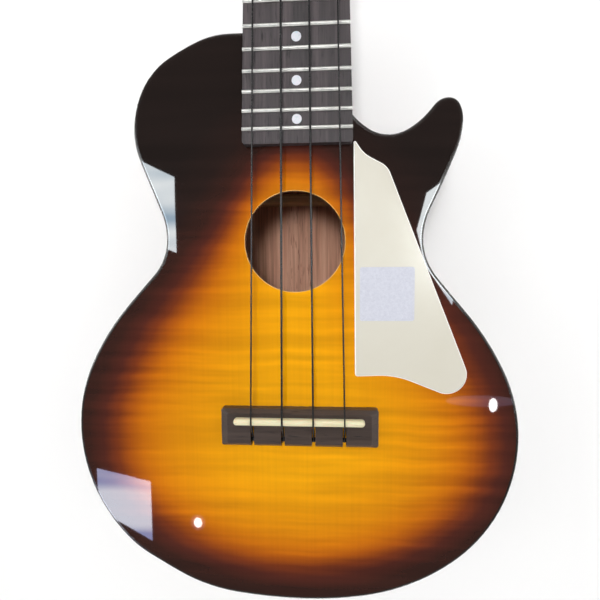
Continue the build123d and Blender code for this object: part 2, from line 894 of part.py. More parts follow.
def post_bushing():
    """Flanged bushing pressed into the headstock's face."""
    with BuildPart() as bushing:
        with BuildSketch(Plane.XY.offset(overlay_thickness - bushing_depth)):
            Circle(bushing_diameter / 2)
        extrude(amount=bushing_depth)
        with BuildSketch(Plane.XY.offset(overlay_thickness)):
            Circle(bushing_flange_diameter / 2)
        extrude(amount=bushing_flange_thickness)
        fillet(bushing.edges().group_by(Axis.Z)[-1], radius=bushing_round)
        with BuildSketch(Plane.XY.offset(overlay_thickness - bushing_depth)):
            Circle(post_radius + running_clearance)
        extrude(amount=bushing_depth + bushing_flange_thickness, mode=Mode.SUBTRACT)
    return bushing.part


def string_post_solid(string_radius):
    """String post with its grooved winding waist, cross hole and screw bore."""
    groove = winding_turns * 2 * string_radius + post_groove_margin
    top = overlay_thickness + post_height
    with BuildPart() as post:
        with BuildSketch(Plane.XY.offset(gear_bottom)):
            Circle(post_radius)
        extrude(amount=top - gear_bottom)
        fillet(post.edges().group_by(Axis.Z)[-1], radius=post_top_round)
        with BuildSketch(Plane.XY.offset(winding_height - groove / 2)):
            Circle(post_diameter)
            Circle(post_groove_radius, mode=Mode.SUBTRACT)
        extrude(amount=groove, mode=Mode.SUBTRACT)
        with BuildSketch(Plane.XZ):
            with Locations((0, winding_height + groove / 2 + post_hole_diameter)):
                Circle(post_hole_diameter / 2)
        extrude(amount=post_diameter, both=True, mode=Mode.SUBTRACT)
        with BuildSketch(Plane.XY.offset(gear_bottom)):
            Circle(gear_screw_radius)
        extrude(amount=gear_screw_length, mode=Mode.SUBTRACT)
    return post.part


def post_gear():
    """Worm wheel on the foot of the post, one gap facing the worm."""
    half_tooth = tooth_width / gear_pitch_radius / 2
    flank = ((gear_root - gear_overlap, 1.25), (gear_pitch_radius, 1.0), (gear_outer, 0.65))
    tooth = [(r * cos(share * half_tooth), r * sin(share * half_tooth)) for r, share in flank]
    tooth += [(x, -y) for x, y in reversed(tooth)]
    with BuildPart() as gear:
        with BuildSketch(Plane.XY.offset(gear_bottom)):
            Circle(gear_root)
            with PolarLocations(0, gear_teeth, start_angle=90 + 180 / gear_teeth):
                Polygon(*tooth, align=None)
            Circle(post_radius, mode=Mode.SUBTRACT)
        extrude(amount=gear_thickness)
    return gear.part


def gear_screw():
    """Pan-head screw that holds the gear on the post."""
    with BuildPart() as screw:
        with BuildSketch(Plane.XY.offset(gear_bottom)):
            Circle(gear_screw_radius)
        extrude(amount=gear_screw_length)
        with BuildSketch(Plane.XY.offset(gear_bottom)):
            Circle(gear_screw_head_radius)
        extrude(amount=-gear_screw_head_height)
        fillet(screw.edges().group_by(Axis.Z)[0], radius=gear_screw_round)
        with BuildSketch(Plane.XY.offset(gear_bottom - gear_screw_head_height)):
            Rectangle(2 * gear_screw_head_radius, gear_screw_slot_width)
        extrude(amount=gear_screw_slot_depth, mode=Mode.SUBTRACT)
    return screw.part


def worm_thread():
    """Single-start thread about Z, its middle crossing on the -X side."""
    height = thread_turns * worm_pitch
    with BuildPart() as thread:
        with BuildLine():
            spiral = Helix(worm_pitch, height, worm_root, center=(0, 0, -height / 2))
        with BuildSketch(Plane(spiral @ 0, x_dir=(1, 0, 0), z_dir=spiral % 0)) as profile:
            with BuildLine():
                depth = worm_outer - worm_root
                Polyline(
                    (-thread_overlap, -0.7 * tooth_width),
                    (depth / 2, -0.5 * tooth_width),
                    (depth, -0.32 * tooth_width),
                    (depth, 0.32 * tooth_width),
                    (depth / 2, 0.5 * tooth_width),
                    (-thread_overlap, 0.7 * tooth_width),
                    close=True,
                )
            make_face()
        sweep(profile.sketch, path=spiral, is_frenet=True)
    return thread.part


def worm_shaft(side):
    """Worm and its shaft, running out to the button on one side of the headstock."""
    ear_face = ear_inner - running_clearance
    with BuildPart() as shaft:
        with BuildSketch(Plane.YZ.offset(-side * (ear_outer + shaft_tail))):
            with Locations((worm_y, worm_z)):
                Circle(worm_shaft_diameter / 2)
        extrude(amount=side * (shaft_end + ear_outer + shaft_tail))
        with BuildSketch(Plane.YZ.offset(-ear_face)):
            with Locations((worm_y, worm_z)):
                Circle(worm_root)
        extrude(amount=2 * ear_face)
        thread_plane = Plane(origin=(0, worm_y, worm_z), x_dir=(0, 1, 0), z_dir=(1, 0, 0))
        add(thread_plane.location * worm_thread())
    return shaft.part


def tuner_button(side):
    """Oval button, waisted where it meets the shaft."""
    with BuildPart() as button:
        for share, width, thickness in ((0.0, 0.45, 0.75), (0.35, 0.9, 0.9), (1.0, 1.0, 1.0)):
            with BuildSketch(Plane.YZ.offset(side * (button_start + share * button_length))):
                with Locations((worm_y, worm_z)):
                    Ellipse(width * button_width / 2, thickness * button_thickness / 2)
        loft()
        far_face = button.faces().sort_by(Axis.X)[-1 if side > 0 else 0]
        fillet(far_face.edges(), radius=button_round)
        with BuildSketch(Plane.YZ.offset(side * button_start)):
            with Locations((worm_y, worm_z)):
                Circle(worm_shaft_diameter / 2)
        extrude(amount=side * (shaft_end - button_start), mode=Mode.SUBTRACT)
    return button.part


def winding(string_radius):
    """String turns wound on the post's waist."""
    pitch = 2 * winding_lay * string_radius
    with BuildPart() as coil:
        with BuildSketch(Plane.XZ) as turns:
            for turn in range(winding_turns):
                height = winding_height + (turn - (winding_turns - 1) / 2) * pitch
                with Locations((post_groove_radius + string_radius, height)):
                    Circle(string_radius)
            with Locations((post_groove_radius + string_radius / 2, winding_height)):
                Rectangle(string_radius, (winding_turns - 1) * pitch)
        revolve(axis=Axis.Z)
    return coil.part


plates, screws, bushings = [], [], []
for i in range(string_count):
    side, along = string_post(i)
    place = head_plane(side * post_x, along).location
    radius = string_diameters[i] / 2
    plates.append(place * tuner_plate())
    screws.append(place * plate_screws())
    bushings.append(place * post_bushing())
    label_and_export(place * string_post_solid(radius), f"tuner_post_{i + 1}")
    label_and_export(place * post_gear(), f"tuner_gear_{i + 1}")
    label_and_export(place * gear_screw(), f"gear_screw_{i + 1}")
    label_and_export(place * worm_shaft(side), f"worm_shaft_{i + 1}")
    label_and_export(place * tuner_button(side), f"tuner_button_{i + 1}")
    label_and_export(place * winding(radius), f"string_winding_{i + 1}")

label_and_export(Compound(children=plates), "tuner_plates")
label_and_export(Compound(children=screws), "plate_screws")
label_and_export(Compound(children=bushings), "post_bushings")
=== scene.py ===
"""Looks of a small cutaway ukulele with a sunburst top: materials, wound strings, studio and camera."""

import json
from math import cos, pi, radians, sin

import bpy
from mathutils import Euler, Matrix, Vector


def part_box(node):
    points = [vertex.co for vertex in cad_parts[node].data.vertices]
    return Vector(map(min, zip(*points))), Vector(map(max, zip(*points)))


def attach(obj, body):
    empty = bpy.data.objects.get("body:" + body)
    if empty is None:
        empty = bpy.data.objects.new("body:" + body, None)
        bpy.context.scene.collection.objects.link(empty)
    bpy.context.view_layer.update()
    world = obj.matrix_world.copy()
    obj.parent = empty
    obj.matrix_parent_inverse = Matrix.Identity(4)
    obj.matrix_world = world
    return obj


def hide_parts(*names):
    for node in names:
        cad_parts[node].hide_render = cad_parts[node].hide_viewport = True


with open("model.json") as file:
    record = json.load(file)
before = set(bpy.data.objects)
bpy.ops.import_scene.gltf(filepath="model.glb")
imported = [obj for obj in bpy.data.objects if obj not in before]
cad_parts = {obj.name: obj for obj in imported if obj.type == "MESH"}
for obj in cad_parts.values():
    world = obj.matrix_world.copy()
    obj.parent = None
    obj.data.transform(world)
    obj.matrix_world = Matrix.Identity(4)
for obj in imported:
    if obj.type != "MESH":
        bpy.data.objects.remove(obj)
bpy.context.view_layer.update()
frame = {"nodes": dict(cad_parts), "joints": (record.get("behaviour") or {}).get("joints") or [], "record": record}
NODES = frame["nodes"]
MM = 0.001

# camera: metres, degrees and millimetres of lens
CAMERA_PLACE = (0.014144, 0.069033, 0.263126)
CAMERA_TURN = (-4.7357, 3.8061, -0.4185)
LENS = 27.06
SENSOR_WIDTH = 36
NEAR_CLIP = 0.01

# sunburst, in millimetres: centre and radii of each glow, then the soundhole's centre and radius
GLOWS = (((-0.6, -21.1), (66.4, 39.2)), ((-0.5, 11.9), (58.1, 58.4)), ((-2.0, 64.8), (20.8, 41.1)))
SOUNDHOLE = ((-1.7, 78.5), 22.6)
GLOW_DECAY = 1.6
BURST_SPAN = 2.0
# width in millimetres of the painted highlight ring just outside the soundhole
HOLE_HIGHLIGHT_WIDTH = 0.22
NATURAL_LOG_BASE = 2.718281828

# string windings: the thread fills this share of its pitch, and ends a little short of the last turn
TURNS = 4
STEPS_PER_TURN = 40
START_TURN = 0.35
END_GAP_TURNS = 0.15
THREAD_SHARE = 0.94
STRING_TIP = 1.5 * MM
TUBE_SIDES = 14

# rim: how far off a facet the inside test starts, and how far past a hit it goes on
PROBE_START = 0.5 * MM
PROBE_STEP = 0.01 * MM

# studio, in metres
CARD_HEIGHT = 0.66
HAZE_HEIGHT = CARD_HEIGHT + 10 * MM
SPOT_SIDES = 24
STREAK_SLANT = 24
FLOOR_HALF = 6.0


# ---------------------------------------------------------------- colour and node helpers


def srgb(red, green, blue):
    """The linear colour of an 8-bit display colour."""
    shares = [channel / 255 for channel in (red, green, blue)]
    return tuple(s / 12.92 if s <= 0.04045 else ((s + 0.055) / 1.055) ** 2.4 for s in shares) + (1.0,)


class Look:
    """A procedural material built around one Principled shader."""

    def __init__(self, name, **shader_values):
        self.material = bpy.data.materials.new(name)
        self.material.use_nodes = True
        self.tree = self.material.node_tree
        self.shader = self.tree.nodes["Principled BSDF"]
        self.place = self.node("TexCoord").outputs["Object"]
        self.shade(**shader_values)

    def node(self, kind, sockets=None, **settings):
        """Adds one node, with its settings and its input sockets filled or linked."""
        made = self.tree.nodes.new("ShaderNode" + kind)
        for key, value in settings.items():
            setattr(made, key, value)
        for key, value in (sockets or {}).items():
            self.feed(made.inputs[key], value)
        return made

    def feed(self, socket, value):
        if isinstance(value, bpy.types.NodeSocket):
            self.tree.links.new(value, socket)
        else:
            socket.default_value = value

    def shade(self, **values):
        """Sets or links shader sockets, named with underscores for spaces."""
        for key, value in values.items():
            self.feed(self.shader.inputs[key.replace("_", " ")], value)

    def mapped(self, scale, shift=(0, 0, 0), where=None):
        sockets = {"Vector": where or self.place, "Scale": scale, "Location": shift}
        return self.node("Mapping", sockets).outputs["Vector"]

    def noise(self, scale, detail=4.0, rough=0.55, warp=0.0, where=None, shift=(0, 0, 0)):
        """Noise from 0 to 1 whose scale is features per metre along x, y and z."""
        sockets = {"Vector": self.mapped(scale, shift, where), "Scale": 1.0, "Detail": detail}
        sockets.update({"Roughness": rough, "Distortion": warp})
        return self.node("TexNoise", sockets).outputs["Fac"]

    def math(self, operation, first, second=0.0, third=0.0):
        made = self.node("Math", operation=operation)
        for socket, value in zip(made.inputs, (first, second, third)):
            self.feed(socket, value)
        return made.outputs["Value"]

    def blend(self, factor, first, second, mode="MIX"):
        made = self.node("Mix", data_type="RGBA", blend_type=mode)
        self.feed(made.inputs["Factor"], factor)
        for socket, value in zip([s for s in made.inputs if s.type == "RGBA"], (first, second)):
            self.feed(socket, value)
        return [s for s in made.outputs if s.type == "RGBA"][0]

    def ramp(self, factor, *stops):
        """A colour ramp of (position, colour) stops."""
        made = self.node("ValToRGB", {"Fac": factor})
        points = made.color_ramp.elements
        while len(points) < len(stops):
            points.new(0.5)
        for point, (position, colour) in zip(points, stops):
            point.position = position
            point.color = colour
        return made.outputs["Color"]

    def span(self, factor, low, high, out_low=0.0, out_high=1.0):
        """Maps a value from one span to another, held at both ends."""
        sockets = {"Value": factor, "From Min": low, "From Max": high, "To Min": out_low, "To Max": out_high}
        return self.node("MapRange", sockets).outputs["Result"]

    def axis(self, letter):
        return self.node("SeparateXYZ", {"Vector": self.place}).outputs[letter]

    def bump(self, height, depth, strength=1.0, base=None):
        sockets = {"Height": height, "Distance": depth, "Strength": strength}
        if base:
            sockets["Normal"] = base
        return self.node("Bump", sockets).outputs["Normal"]


def along(axis, across_scale, length_scale):
    """Feature scales for grain that runs along one axis."""
    return tuple(length_scale if letter == axis else across_scale for letter in "XYZ")


# ---------------------------------------------------------------- materials


def wood(name, dark, mid, light, axis="Y", pores=0.0, rough=(0.4, 0.55), streak=(95, 5), **shader_values):
    """Straight-grained wood: broad bands, fine fibres and short open pores."""
    look = Look(name, **shader_values)
    bands = look.noise(along(axis, *streak), detail=5, rough=0.6, warp=0.35)
    fibres = look.noise(along(axis, 900, 22), detail=3, rough=0.65)
    mixed = look.math("ADD", look.math("MULTIPLY", bands, 0.62), look.math("MULTIPLY", fibres, 0.38))
    colour = look.ramp(mixed, (0.36, dark), (0.5, mid), (0.64, light))
    specks = look.noise(along(axis, 1500, 130), detail=2, rough=0.5, shift=(3, 7, 1))
    pore = look.span(specks, 0.60, 0.70)
    if pores:
        colour = look.blend(look.math("MULTIPLY", pore, pores), colour, dark, "MULTIPLY")
    relief = look.math("SUBTRACT", fibres, look.math("MULTIPLY", pore, 0.8))
    look.shade(Base_Color=colour, Roughness=look.span(mixed, 0.35, 0.65, *rough))
    look.shade(Normal=look.bump(relief, 0.00008, 0.35))
    return look


def lacquered(look, coat=1.0, coat_rough=0.03):
    """A thick clear gloss coat with a very slight waviness of its own."""
    sag = look.noise((28, 28, 28), detail=1, rough=0.3)
    look.shade(Coat_Weight=coat, Coat_Roughness=coat_rough, Coat_IOR=1.5, Specular_IOR_Level=0.0)
    look.shade(Coat_Normal=look.bump(sag, 0.0004, 0.12))
    return look


def sunburst(name, top_level, plate_thickness, glows, hole):
    """Flamed maple under a sunburst: amber bouts, brown halo, near-black edge."""
    look = Look(name)
    reach = 0.0
    for (x, y), (rx, ry) in glows:
        scale = (1 / (rx * MM), 1 / (ry * MM), 0)
        scaled = look.mapped(scale, (-x / rx, -y / ry, 0))
        distance = look.node("VectorMath", {0: scaled}, operation="LENGTH").outputs["Value"]
        reach = look.math("ADD", look.math("EXPONENT", look.math("MULTIPLY", distance, -GLOW_DECAY)), reach)
    reach = look.math("DIVIDE", look.math("LOGARITHM", reach, NATURAL_LOG_BASE), -GLOW_DECAY)

    sway = look.noise((26, 14, 0), detail=2, rough=0.5)
    offset = look.math("MULTIPLY", look.math("SUBTRACT", sway, 0.5), 0.0035)
    parts = look.node("SeparateXYZ", {"Vector": look.place}).outputs
    swayed = look.node("CombineXYZ", {"X": parts["X"], "Y": look.math("ADD", parts["Y"], offset)})
    swayed = swayed.outputs["Vector"]
    flame = look.noise((8, 165, 0), detail=2, rough=0.45, warp=0.08, where=swayed)
    curl = look.noise((24, 330, 0), detail=2, rough=0.5, where=swayed, shift=(9, 4, 0))
    figure = look.math("ADD", look.math("MULTIPLY", flame, 0.72), look.math("MULTIPLY", curl, 0.28))
    figure = look.span(figure, 0.38, 0.62, -1.0, 1.0)
    patches = look.span(look.noise((22, 30, 0), detail=2), 0.35, 0.65, 0.45, 1.0)
    figure = look.math("MULTIPLY", figure, patches)
    grain = look.span(look.noise((700, 9, 0), detail=3, rough=0.6), 0.3, 0.7, -1.0, 1.0)

    stained = look.math("MULTIPLY_ADD", figure, -0.022, reach)
    colour = look.ramp(
        look.math("DIVIDE", stained, BURST_SPAN),
        (0.00 / BURST_SPAN, srgb(221, 152, 4)),
        (0.30 / BURST_SPAN, srgb(213, 141, 3)),
        (0.55 / BURST_SPAN, srgb(203, 127, 3)),
        (0.70 / BURST_SPAN, srgb(194, 113, 3)),
        (0.80 / BURST_SPAN, srgb(182, 99, 5)),
        (0.90 / BURST_SPAN, srgb(152, 74, 10)),
        (1.00 / BURST_SPAN, srgb(108, 46, 18)),
        (1.10 / BURST_SPAN, srgb(72, 31, 22)),
        (1.22 / BURST_SPAN, srgb(50, 25, 19)),
        (1.45 / BURST_SPAN, srgb(34, 21, 18)),
        (1.80 / BURST_SPAN, srgb(26, 18, 16)),
    )
    shine = look.math("MULTIPLY_ADD", figure, 0.17, 1.0)
    shine = look.math("MULTIPLY_ADD", grain, 0.035, shine)
    colour = look.node("VectorMath", {0: colour, "Scale": shine}, operation="SCALE").outputs["Vector"]

    # a thin pale ring around the soundhole: a painted highlight standing in for light caught by the hole's rounded
    # top edge
    (x, y), hole_radius = hole
    from_hole = look.mapped((1 / MM, 1 / MM, 0), (-x, -y, 0))
    gap = look.node("VectorMath", {0: from_hole}, operation="LENGTH").outputs["Value"]
    hole_highlight_mask = look.math("LESS_THAN", gap, hole_radius + HOLE_HIGHLIGHT_WIDTH)
    colour = look.blend(hole_highlight_mask, colour, srgb(226, 176, 96))

    height = look.axis("Z")
    under = look.math("LESS_THAN", height, (top_level - plate_thickness + 0.1) * MM)
    edge = look.math("LESS_THAN", height, (top_level - 0.35) * MM)
    fibres = look.noise((650, 12, 40), detail=3, rough=0.6)
    raw = look.ramp(fibres, (0.35, srgb(176, 140, 100)), (0.65, srgb(208, 176, 136)))
    stain = look.ramp(fibres, (0.3, srgb(74, 48, 34)), (0.7, srgb(112, 78, 56)))
    colour = look.blend(edge, colour, stain)
    colour = look.blend(under, colour, raw)
    look.shade(Base_Color=colour, Roughness=look.span(figure, -1, 1, 0.34, 0.26))
    look.shade(Normal=look.bump(figure, 0.0002, 0.10))
    return lacquered(look, coat_rough=0.02)


def metal(name, dark, light, rough, brush=(900, 60, 60), polish=1.0):
    """Plated metal with a faint brush and cloudy tarnish."""
    look = Look(name, Metallic=1.0)
    cloud = look.noise((130, 130, 130), detail=5, rough=0.6)
    lines = look.noise(brush, detail=3, rough=0.7)
    look.shade(Base_Color=look.ramp(cloud, (0.3, dark), (0.62, light)))
    worn = look.math("ADD", look.math("MULTIPLY", cloud, 0.5), look.math("MULTIPLY", lines, 0.5))
    look.shade(Roughness=look.span(worn, 0.3, 0.7, *rough))
    look.shade(Normal=look.bump(lines, 0.00003 * polish, 0.35))
    return look


def plastic(name, dark, light, rough, cloud=60, streak=None, relief=0.00002, **shader_values):
    """Moulded or cast plastic with soft cloudiness and, if asked, drawn streaks."""
    look = Look(name, **shader_values)
    mist = look.noise((cloud, cloud, cloud), detail=5, rough=0.55, warp=0.6)
    tone = mist
    if streak:
        lines = look.noise(streak, detail=4, rough=0.6)
        tone = look.math("ADD", look.math("MULTIPLY", mist, 0.4), look.math("MULTIPLY", lines, 0.6))
    scuffs = look.noise((1400, 1400, 1400), detail=3, rough=0.7)
    worn = look.math("ADD", look.math("MULTIPLY", mist, 0.5), look.math("MULTIPLY", scuffs, 0.5))
    look.shade(Base_Color=look.ramp(tone, (0.3, dark), (0.68, light)))
    look.shade(Roughness=look.span(worn, 0.35, 0.65, *rough))
    look.shade(Normal=look.bump(scuffs, relief, 0.3))
    return look


def pearl(name):
    """Shell inlay: drifting bands of pale cream, pink, green and blue."""
    look = Look(name, Coat_Weight=0.2, Coat_Roughness=0.3)
    drift = look.noise((420, 300, 420), detail=4, rough=0.55, warp=1.8)
    colour = look.ramp(
        drift,
        (0.28, srgb(176, 186, 192)),
        (0.42, srgb(194, 200, 206)),
        (0.52, srgb(204, 198, 208)),
        (0.62, srgb(186, 202, 206)),
        (0.74, srgb(180, 192, 212)),
    )
    look.shade(Base_Color=colour, Roughness=look.span(drift, 0.3, 0.7, 0.3, 0.45))
    look.shade(Normal=look.bump(drift, 0.00005, 0.4))
    return look


MAHOGANY = (srgb(33, 15, 11), srgb(58, 27, 19), srgb(84, 40, 26))
RAW_MAHOGANY = (srgb(150, 108, 88), srgb(198, 150, 126), srgb(226, 182, 156))
RAW_SPRUCE = (srgb(182, 146, 102), srgb(210, 176, 132), srgb(226, 198, 158))
ROSEWOOD = (srgb(32, 27, 28), srgb(54, 47, 49), srgb(78, 69, 71))
BRIDGE_WOOD = (srgb(44, 34, 29), srgb(56, 44, 38), srgb(66, 53, 46))
VENEER = (srgb(12, 9, 9), srgb(19, 14, 13), srgb(28, 21, 19))

top_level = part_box("soundboard")[1][2] / MM
plate_thickness = top_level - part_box("soundboard")[0][2] / MM

LOOKS = {
    "burst_top": sunburst(
        "burst_top",
        top_level,
        plate_thickness,
        glows=GLOWS,
        hole=SOUNDHOLE,
    ),
    "dark_mahogany": lacquered(wood("dark_mahogany", *MAHOGANY, pores=0.8, rough=(0.3, 0.45))),
    "raw_mahogany": wood("raw_mahogany", *RAW_MAHOGANY, pores=0.7, rough=(0.6, 0.8)),
    "raw_spruce": wood("raw_spruce", *RAW_SPRUCE, streak=(420, 6), rough=(0.55, 0.75)),
    "raw_spruce_across": wood(
        "raw_spruce_across", *RAW_SPRUCE, axis="X", streak=(420, 6), rough=(0.55, 0.75)
    ),
    "binding": plastic(
        "binding", srgb(20, 14, 12), srgb(34, 24, 20), (0.12, 0.22), cloud=400, Coat_Weight=1.0,
        Coat_Roughness=0.03,
    ),
    "fingerboard_wood": wood("fingerboard_wood", *ROSEWOOD, pores=0.9, rough=(0.42, 0.6), streak=(260, 9)),
    "bridge_wood": wood(
        "bridge_wood", *BRIDGE_WOOD, axis="X", pores=0.8, rough=(0.36, 0.5), streak=(260, 14)
    ),
    "fret_metal": metal(
        "fret_metal", srgb(190, 190, 186), srgb(232, 231, 226), (0.3, 0.42), brush=(60, 1500, 1500)
    ),
    "pearl": pearl("pearl"),
    "bone": plastic(
        "bone", srgb(204, 196, 156), srgb(222, 216, 184), (0.3, 0.45), streak=(120, 900, 900),
        Subsurface_Weight=0.15, Subsurface_Scale=0.002,
    ),
    "pickguard": plastic("pickguard", srgb(199, 195, 182), srgb(204, 201, 189), (0.16, 0.24), cloud=22),
    "label_paper": plastic(
        "label_paper", srgb(184, 186, 198), srgb(198, 200, 210), (0.6, 0.8), cloud=900, relief=0.00004
    ),
    "nylon": plastic("nylon", srgb(12, 12, 13), srgb(26, 25, 26), (0.2, 0.3), streak=(2500, 40, 2500)),
    "head_veneer": lacquered(wood("head_veneer", *VENEER, rough=(0.3, 0.42))),
    "nickel": metal("nickel", srgb(186, 184, 180), srgb(226, 225, 222), (0.12, 0.26)),
    "button_plastic": plastic(
        "button_plastic", srgb(212, 204, 182), srgb(238, 233, 216), (0.18, 0.3), cloud=180
    ),
}


def paint_bevel_highlight(look, level, highlight_colour):
    """Paints a near-white highlight on a bevel, everywhere below a height."""
    face = look.shader.inputs["Base Color"].links[0].from_socket
    below = look.math("LESS_THAN", look.axis("Z"), level)
    look.shade(Base_Color=look.blend(below, face, highlight_colour))


# painted highlight: the pickguard's bevel below its top face is coloured near-white, standing in for the light it
# catches
paint_bevel_highlight(LOOKS["pickguard"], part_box("pickguard")[1][2] - 0.02 * MM, srgb(246, 245, 240))

ACROSS_GRAIN = {"top_cross_braces", "back_braces"}


def back_plate_look():
    """The back: dark lacquer outside and bare mahogany inside, told apart by height in the plate."""
    look = lacquered(wood("back_wood", *MAHOGANY, pores=0.8, rough=(0.3, 0.45)))
    inside = look.math("GREATER_THAN", look.axis("Z"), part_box("back_plate")[1][2] - 0.3 * MM)
    dark = look.shader.inputs["Base Color"].links[0].from_socket
    bands = look.noise((110, 5, 40), detail=5, rough=0.6, warp=0.3, shift=(5, 0, 0))
    fibres = look.noise((800, 20, 60), detail=3, rough=0.65, shift=(2, 0, 0))
    mixed = look.math("ADD", look.math("MULTIPLY", bands, 0.6), look.math("MULTIPLY", fibres, 0.4))
    bare = look.ramp(mixed, (0.36, RAW_MAHOGANY[0]), (0.5, RAW_MAHOGANY[1]), (0.64, RAW_MAHOGANY[2]))
    look.shade(Base_Color=look.blend(inside, dark, bare))
    look.shade(Coat_Weight=look.math("SUBTRACT", 1.0, inside))
    return look


LOOKS["back_wood"] = back_plate_look()

for part in frame["record"]["subparts"]:
    node, slot = part["node"], part["material_slot"]
    if node in ACROSS_GRAIN:
        slot = "raw_spruce_across"
    if node == "back_plate":
        slot = "back_wood"
    cad_object = NODES[node]
    cad_object.data.materials.clear()
    cad_object.data.materials.append(LOOKS[slot].material)


# ---------------------------------------------------------------- rim with two looks


def wall_crossings(shell, start):
    """How many surfaces of the shell a level ray from start goes through."""
    heading, count = Vector((1, 0, 0)), 0
    while True:
        hit, place, _, _ = shell.ray_cast(start, heading)
        if not hit:
            return count
        count += 1
        start = place + heading * PROBE_STEP


def lined_rim():
    """The rim again, lacquered outside and bare inside, told apart by how many walls a level ray meets.

    A ray from inside the body meets one wall and a ray from outside meets none or two. A ray
    that grazes a wall lying nearly along it can be miscounted, which leaves a bare stripe outside.
    """
    shell = NODES["side_rim"]
    mesh = shell.data.copy()
    mesh.materials.clear()
    mesh.materials.append(LOOKS["dark_mahogany"].material)
    mesh.materials.append(LOOKS["raw_mahogany"].material)
    for face in mesh.polygons:
        if abs(face.normal.z) < 0.5:
            crossings = wall_crossings(shell, face.center + face.normal * PROBE_START)
            face.material_index = crossings // 2 % 2
    piece = bpy.data.objects.new("rim_shell", mesh)
    bpy.context.collection.objects.link(piece)
    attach(piece, "instrument")
    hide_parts("side_rim")


lined_rim()


# ---------------------------------------------------------------- string windings


def tube(name, points, radius, sides=TUBE_SIDES):
    """A closed round tube along a list of points, with domed ends."""
    cap = [(0.45, 0.86), (0.15, 0.99)]
    line = [Vector(p) for p in points]
    last = len(line) - 1
    heading = [(line[min(i + 1, last)] - line[max(i - 1, 0)]).normalized() for i in range(len(line))]
    rings = [(line[0] - heading[0] * radius * back, heading[0], radius * size) for size, back in cap]
    rings += [(p, h, radius) for p, h in zip(line, heading)]
    end, way_out = line[-1], heading[-1]
    rings += [(end + way_out * radius * back, way_out, radius * size) for size, back in cap[::-1]]
    side = heading[0].orthogonal().normalized()
    vertices, faces = [], []
    for centre, way, size in rings:
        side = (side - way * side.dot(way)).normalized()
        other = way.cross(side)
        for step in range(sides):
            turn = 2 * pi * step / sides
            vertices.append(centre + (side * cos(turn) + other * sin(turn)) * size)
    for ring in range(len(rings) - 1):
        for step in range(sides):
            a, b = ring * sides + step, ring * sides + (step + 1) % sides
            faces.append((a, b, b + sides, a + sides))
    faces.append(tuple(range(sides))[::-1])
    faces.append(tuple(range((len(rings) - 1) * sides, len(rings) * sides)))
    mesh = bpy.data.meshes.new(name)
    mesh.from_pydata(vertices, [], faces)
    mesh.shade_smooth()
    piece = bpy.data.objects.new(name, mesh)
    bpy.context.collection.objects.link(piece)
    return piece


def world_points(node):
    return [NODES[node].matrix_world @ v.co for v in NODES[node].data.vertices]


def wind_string(number):
    """Replaces a plain winding with a helix that starts where its straight string ends."""
    joint = next(j for j in frame["joints"] if j["name"] == f"post_turn_{number}")
    origin, up = Vector(joint["pos_m"]), Vector(joint["axis"]).normalized()
    coils = world_points(f"string_winding_{number}")
    heights = [(p - origin).dot(up) for p in coils]
    low, high = min(heights), max(heights)
    reach = max(((p - origin) - up * (p - origin).dot(up)).length for p in coils)
    string = world_points(f"string_{number}")
    tip = max(string, key=lambda p: p.y)
    end = [p for p in string if (p - tip).length < STRING_TIP]
    end = sum(end, Vector()) / len(end)
    flat = (end - origin) - up * (end - origin).dot(up)
    thick = 0.5 * (high - low) / TURNS
    radius = thick * THREAD_SHARE
    coil_radius = reach - thick
    first = flat.normalized()
    ahead = up.cross(first)
    spin = 1 if ahead.y > 0 else -1
    points = []
    steps = TURNS * STEPS_PER_TURN
    for step in range(steps + 1):
        share = step / steps
        turn = spin * 2 * pi * share * (TURNS - END_GAP_TURNS) + START_TURN * spin
        height = high - thick - (high - low - 2 * thick) * share
        points.append(origin + up * height + (first * cos(turn) + ahead * sin(turn)) * coil_radius)
    piece = tube(f"wound_string_{number}", points, radius)
    piece.data.materials.append(LOOKS["nylon"].material)
    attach(piece, f"post_body_{number}")
    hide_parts(f"string_winding_{number}")


for string_number in range(1, 5):
    wind_string(string_number)


# ---------------------------------------------------------------- studio


def glow_look(name, dim, bright, strength):
    """Emission with soft slanting streaks, for a panel that only shows in reflections."""
    look = Look(name)
    turned = {"Vector": look.place, "Rotation": (0, 0, radians(STREAK_SLANT)), "Scale": (2.2, 15, 1)}
    slant = look.node("Mapping", turned).outputs["Vector"]
    streaks = look.node("TexNoise", {"Vector": slant, "Scale": 1.0, "Detail": 2.0}).outputs["Fac"]
    colour = look.ramp(streaks, (0.42, dim), (0.58, bright))
    glow = look.node("Emission", {"Color": colour, "Strength": strength})
    look.tree.links.new(glow.outputs["Emission"], look.tree.nodes["Material Output"].inputs["Surface"])
    look.tree.nodes.remove(look.shader)
    return look.material


def mirrored(x, y, z):
    """Where a ray from the camera goes after it meets the flat top at x, y, at height z."""
    rise = (z - top_level * MM) / (CAMERA_PLACE[2] - top_level * MM)
    return (x * MM + (x * MM - CAMERA_PLACE[0]) * rise, y * MM + (y * MM - CAMERA_PLACE[1]) * rise, z)


def panel(name, corners, material, height=CARD_HEIGHT):
    """A bright panel overhead, given by the corners of its reflection in the top, in millimetres."""
    mesh = bpy.data.meshes.new(name)
    mesh.from_pydata([mirrored(x, y, height) for x, y in corners], [], [tuple(range(len(corners)))])
    card = bpy.data.objects.new(name, mesh)
    bpy.context.collection.objects.link(card)
    mesh.materials.append(material)
    card.visible_camera = card.visible_diffuse = card.visible_shadow = False


def lamp_spot(name, x, y, across, tall, material, height=CARD_HEIGHT):
    """A round lamp overhead, given by the centre and radii of its reflection in the top."""
    rim = [2 * pi * step / SPOT_SIDES for step in range(SPOT_SIDES)]
    panel(name, [(x + across * cos(turn), y + tall * sin(turn)) for turn in rim], material, height)


